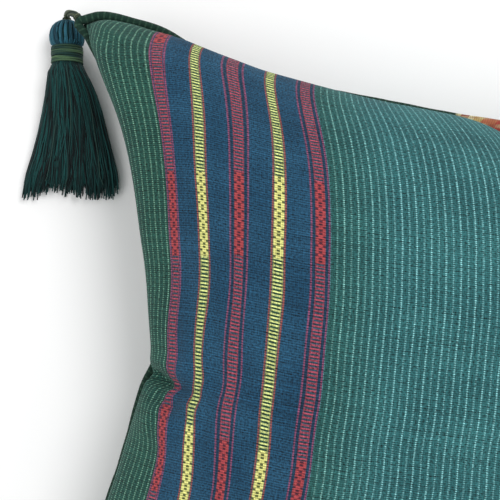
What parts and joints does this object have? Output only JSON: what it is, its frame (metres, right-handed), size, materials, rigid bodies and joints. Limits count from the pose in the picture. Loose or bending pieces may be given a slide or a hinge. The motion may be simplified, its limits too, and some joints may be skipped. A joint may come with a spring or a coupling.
{
  "type": "oblong cushion with corner tassels",
  "caption": "Oblong filled cushion in handwoven striped cloth with a piped seam, drawn-in sides and a thread tassel at each corner.",
  "frame": {"origin": "middle of the flat spot on the back that the cushion rests on", "axes": "+Z out of the front face, +Y towards the edge that is upper in the picture, +X along that edge, with the woven bars beside the -X side and running along Y"},
  "size_m": [0.5725, 0.5088, 0.136],
  "materials": {
    "striped_cloth": "handwoven cotton, matt, green with light pinstripes and a blue band of red and yellow brocaded bars",
    "piping_cloth": "the same cotton over a round cord, matt, dark green",
    "tassel_thread": "dark teal cotton threads with a soft sheen",
    "band_thread": "moss green cotton threads wound tight",
    "loop_thread": "twisted green and cream cotton threads"
  },
  "bodies": {
    "root": {"body": "striped_cloth", "piping": "piping_cloth", "tassel_tl": "tassel_thread", "tassel_tl_band": "band_thread", "tassel_tl_loop": "loop_thread", "tassel_tr": "tassel_thread", "tassel_tr_band": "band_thread", "tassel_tr_loop": "loop_thread", "tassel_br": "tassel_thread", "tassel_br_band": "band_thread", "tassel_br_loop": "loop_thread", "tassel_bl": "tassel_thread", "tassel_bl_band": "band_thread", "tassel_bl_loop": "loop_thread"}
  },
  "joints": []
}
